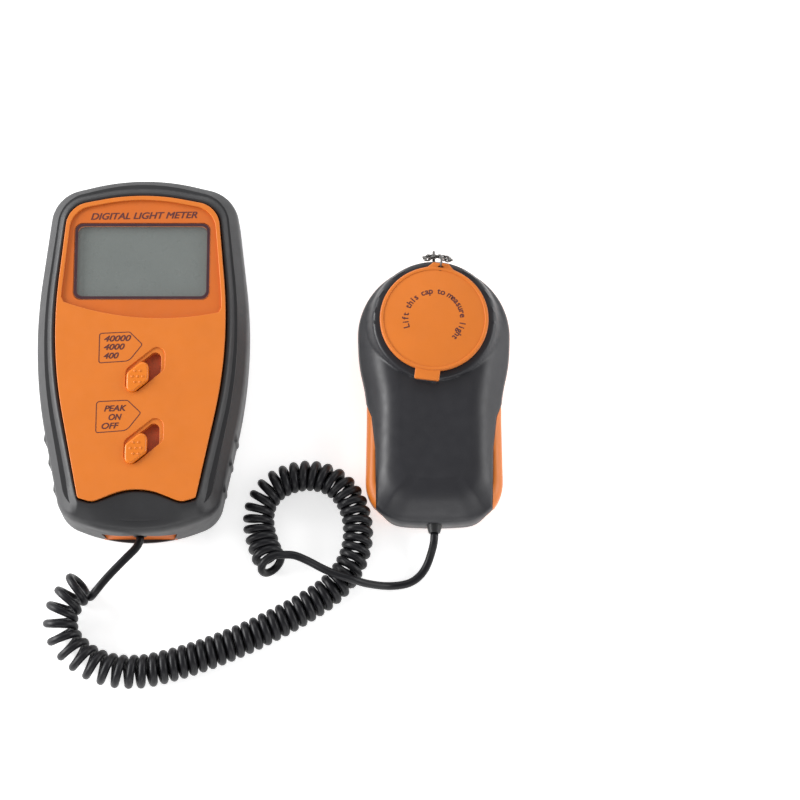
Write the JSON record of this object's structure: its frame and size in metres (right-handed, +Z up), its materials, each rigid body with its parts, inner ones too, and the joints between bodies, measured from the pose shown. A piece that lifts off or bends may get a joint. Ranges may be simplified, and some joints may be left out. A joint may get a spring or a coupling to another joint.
{
  "type": "light meter",
  "caption": "Two-piece light meter: hand unit with blank display and two slide switches in a rubber boot, and a capped light sensor on a coiled cord.",
  "frame": {"origin": "on the table, under the middle of the box that holds the hand unit and the sensor together, the cord left out", "axes": "+Z up out of the orange face and the cap, +X from the hand unit to the sensor, +Y from the cord ends to the display and cap ends"},
  "size_m": [0.158, 0.1709, 0.029],
  "materials": {
    "casing": "satin orange ABS, fine moulded grain",
    "boot": "charcoal grey soft rubber, matt, slightly worn on its edges",
    "window": "clear acrylic window",
    "lcd": "grey-green display glass, blank",
    "black_plastic": "black moulded plastic",
    "zebra": "elastomer contact strip",
    "board": "green glass-fibre circuit board",
    "components": "electronic parts",
    "switch_metal": "tinned sheet steel",
    "knob": "orange moulded plastic",
    "battery_case": "plain printed metal jacket",
    "wire_red": "PVC wire insulation",
    "wire_white": "PVC wire insulation",
    "screw_steel": "zinc-plated steel",
    "sensor_dark": "charcoal satin plastic",
    "diffuser_white": "opal white plastic",
    "diode": "silicon cell behind clear resin",
    "filter_glass": "green optical glass",
    "chain_metal": "nickel-plated steel wire",
    "cord_jacket": "black PVC cord jacket, satin"
  },
  "bodies": {
    "meter": {"rubber_boot": "boot", "front_shell": "casing", "rear_shell": "casing", "display_window": "window", "lcd_panel": "lcd", "lcd_frame": "black_plastic", "zebra_strips": "zebra", "main_board": "board", "board_components": "components", "range_switch_body": "switch_metal", "power_switch_body": "switch_metal", "battery": "battery_case", "battery_snap": "black_plastic", "battery_leads": "wire_red", "signal_wires": "wire_white", "case_screws": "screw_steel", "board_screws": "screw_steel", "meter_gland": "black_plastic", "meter_lead": "cord_jacket", "cord_coil": "cord_jacket", "sensor_lead": "cord_jacket"},
    "range_knob": {"range_knob": "knob"},
    "power_knob": {"power_knob": "knob"},
    "battery_door": {"battery_door": "casing"},
    "sensor": {"sensor_top_shell": "sensor_dark", "sensor_bottom_shell": "casing", "sensor_board": "board", "photodiode": "diode", "optical_filter": "filter_glass", "filter_holder": "black_plastic", "diffuser": "diffuser_white", "diffuser_ring": "black_plastic", "sensor_screws": "screw_steel", "sensor_gland": "black_plastic", "sensor_wires": "wire_white", "chain_eyelet": "chain_metal", "cap_chain": "chain_metal"},
    "cap": {"sensor_cap": "casing", "cap_ring": "chain_metal"}
  },
  "joints": [
    {"name": "range_knob_slide", "type": "slide", "parent": "meter", "child": "range_knob", "axis": [0.766, 0.6428, 0], "range_m": [0, 0.0048]},
    {"name": "power_knob_slide", "type": "slide", "parent": "meter", "child": "power_knob", "axis": [0.766, 0.6428, 0], "range_m": [0, 0.0048]},
    {"name": "battery_door_slide", "type": "slide", "parent": "meter", "child": "battery_door", "axis": [0, -1, 0], "range_m": [0, 0.012]},
    {"name": "sensor_lift", "type": "slide", "parent": "meter", "child": "sensor", "axis": [0, 0, 1], "range_m": [0, 0.08]},
    {"name": "cap_lift", "type": "slide", "parent": "sensor", "child": "cap", "axis": [0, 0, 1], "range_m": [0, 0.012]}
  ]
}
